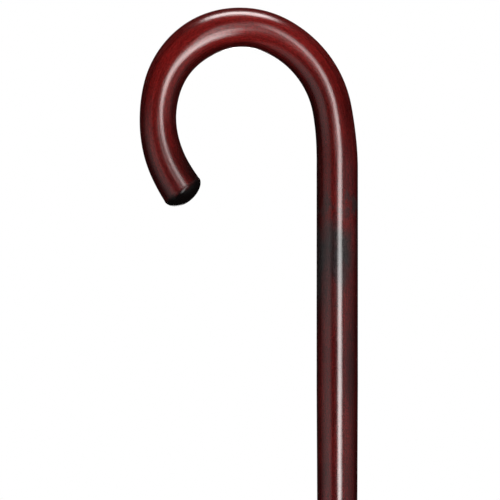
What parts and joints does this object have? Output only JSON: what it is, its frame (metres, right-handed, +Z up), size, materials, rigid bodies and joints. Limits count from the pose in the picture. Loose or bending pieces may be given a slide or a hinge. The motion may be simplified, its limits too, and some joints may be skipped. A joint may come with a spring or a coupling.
{
  "type": "single point cane",
  "caption": "Walking cane of bent round hardwood: crook handle, long straight tapering shaft and a push-on ribbed rubber tip.",
  "frame": {"origin": "middle of the rubber tip's ground face, where the cane stands on the floor", "axes": "+Z up along the shaft, -X the way the crook turns over, Y across the cane, which is symmetric about the XZ plane"},
  "size_m": [0.14, 0.038, 0.914],
  "materials": {
    "stained_hardwood": "dark red-brown stain under gloss lacquer",
    "black_rubber": "moulded matt black rubber",
    "plated_steel": "zinc plated, pressed"
  },
  "bodies": {
    "stick": {"bentwood_stick": "stained_hardwood"},
    "tip": {"rubber_tip": "black_rubber", "tip_washer": "plated_steel"}
  },
  "joints": [
    {"name": "tip_pull_off", "type": "slide", "parent": "stick", "child": "tip", "axis": [0, 0, -1], "range_m": [0, 0.05]}
  ]
}
